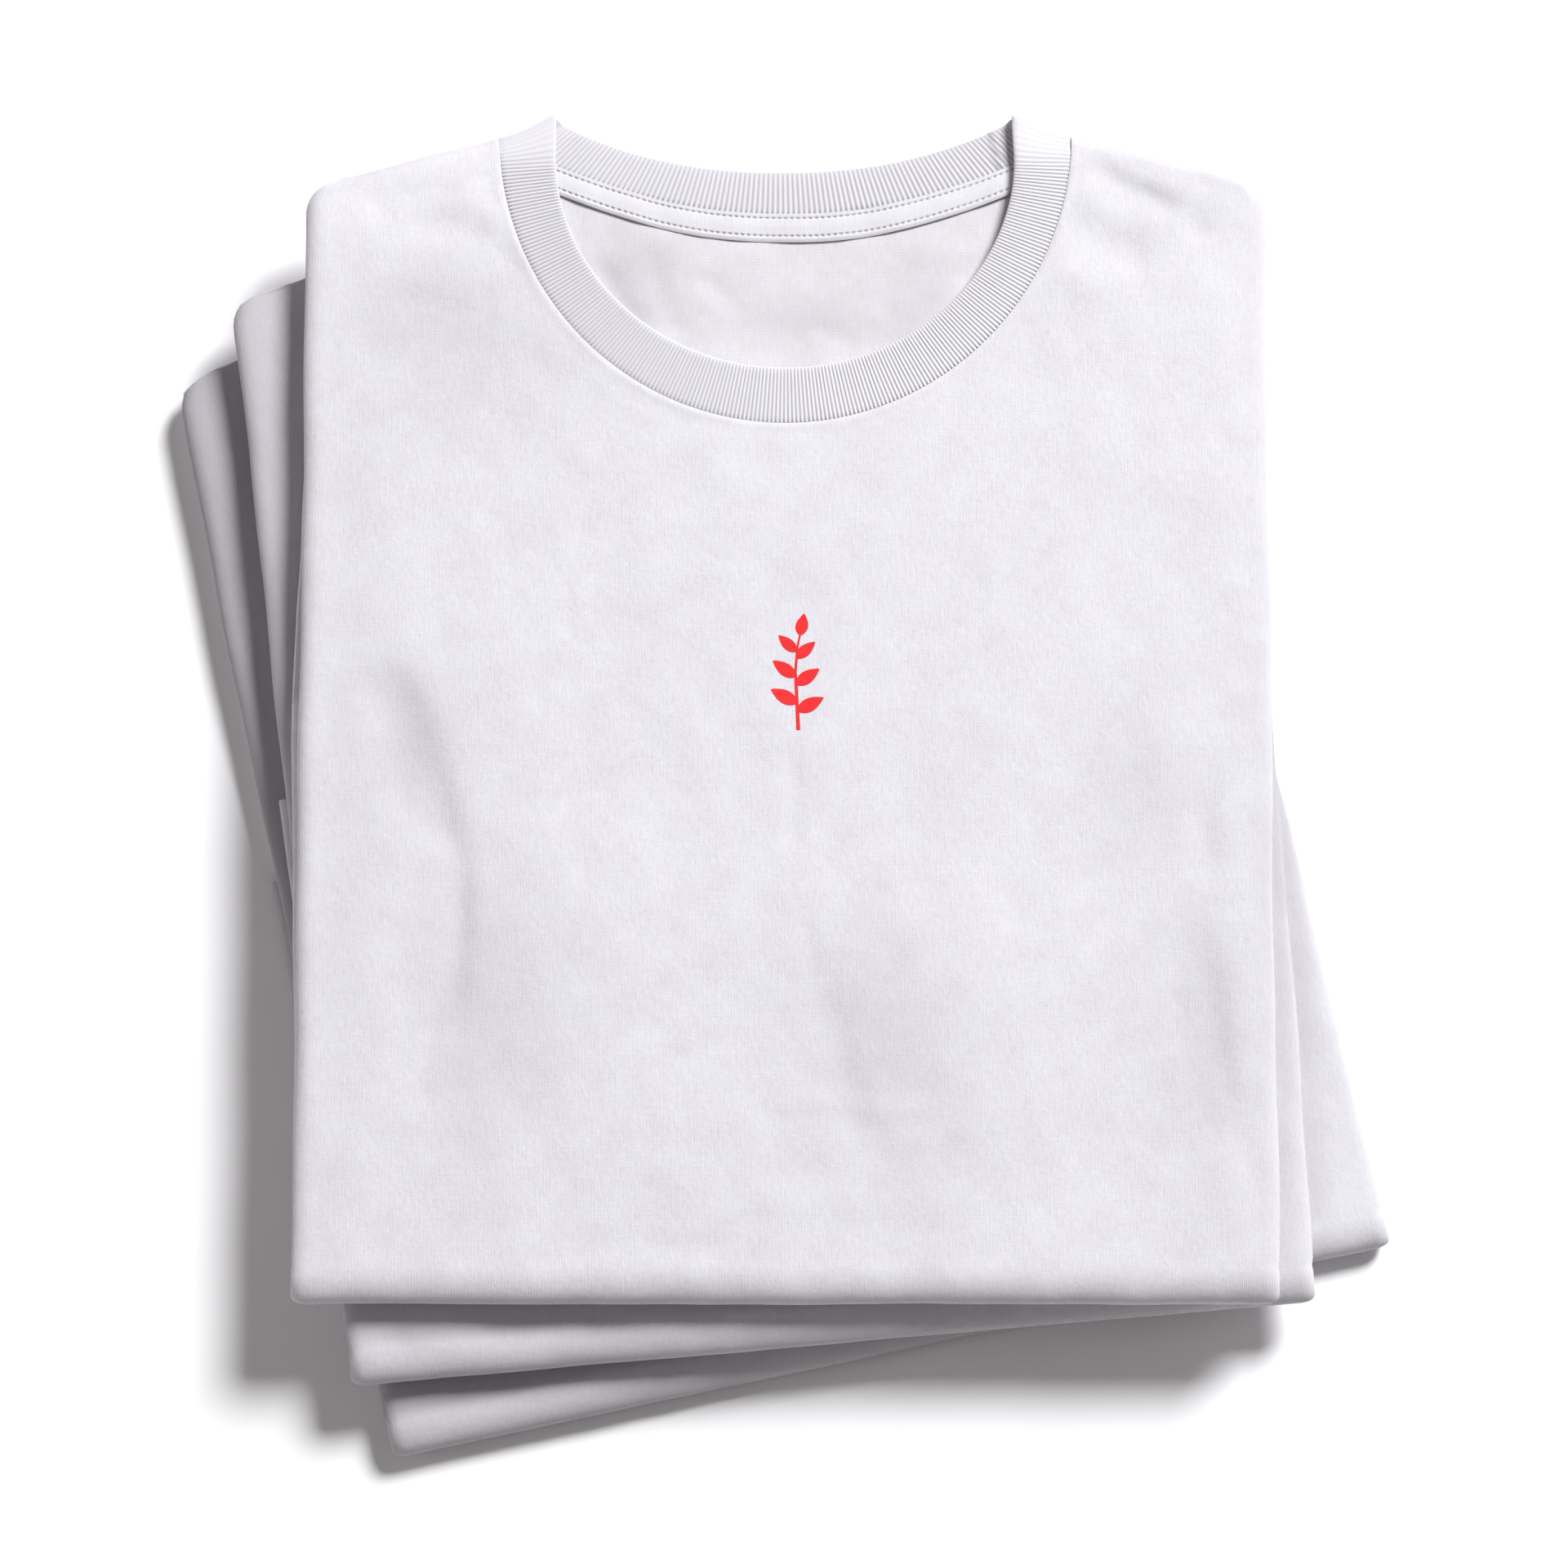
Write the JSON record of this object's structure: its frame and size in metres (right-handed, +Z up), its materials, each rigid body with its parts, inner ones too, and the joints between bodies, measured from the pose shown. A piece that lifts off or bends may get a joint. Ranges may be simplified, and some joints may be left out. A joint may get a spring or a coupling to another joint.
{
  "type": "stack of folded t-shirts",
  "caption": "Stack of plain white crew-neck T-shirts, each folded flat with its collar on top, fanned by a few degrees.",
  "frame": {"origin": "bottom centre of the whole stack's bounding box, on the surface that it rests on", "axes": "+Z up out of the pile, +Y from the front folds towards the collars, +X to the wearer's left, which is the viewer's right"},
  "size_m": [0.4634, 0.5264, 0.0389],
  "materials": {
    "jersey": "matt white cotton jersey",
    "rib": "matt white cotton rib knit",
    "tape": "matt white jersey tape"
  },
  "bodies": {
    "root": {"top_front": "jersey", "top_back": "jersey", "top_neckband": "rib", "top_neck_tape": "tape", "top_sleeve_left": "jersey", "top_sleeve_right": "jersey", "top_inner_layers": "jersey", "middle_front": "jersey", "middle_back": "jersey", "middle_neckband": "rib", "middle_neck_tape": "tape", "middle_sleeve_left": "jersey", "middle_sleeve_right": "jersey", "middle_inner_layers": "jersey", "bottom_front": "jersey", "bottom_back": "jersey", "bottom_neckband": "rib", "bottom_neck_tape": "tape", "bottom_sleeve_left": "jersey", "bottom_sleeve_right": "jersey", "bottom_inner_layers": "jersey"}
  },
  "joints": []
}
